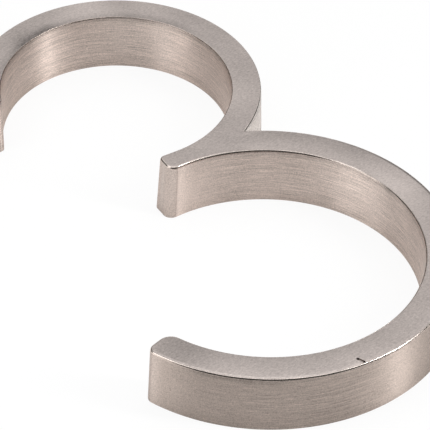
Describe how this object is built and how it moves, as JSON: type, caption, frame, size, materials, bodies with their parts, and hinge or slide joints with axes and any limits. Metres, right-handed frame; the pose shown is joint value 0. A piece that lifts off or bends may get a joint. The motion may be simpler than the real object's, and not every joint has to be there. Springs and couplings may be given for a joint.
{
  "type": "house number",
  "caption": "Cast house number in the shape of the digit 3, with round bowls, drafted walls and a satin nickel finish, fixed from behind on hidden studs.",
  "frame": {"origin": "midway between the two stud holes, on the flat back that lies against the wall", "axes": "+Y towards the digit's top, +Z out of its face, +X to the right as it is read"},
  "size_m": [0.0727, 0.1271, 0.0126],
  "materials": {
    "satin_nickel": "satin nickel plating over a casting, lightly brushed"
  },
  "bodies": {
    "root": {"house_number": "satin_nickel"}
  },
  "joints": []
}
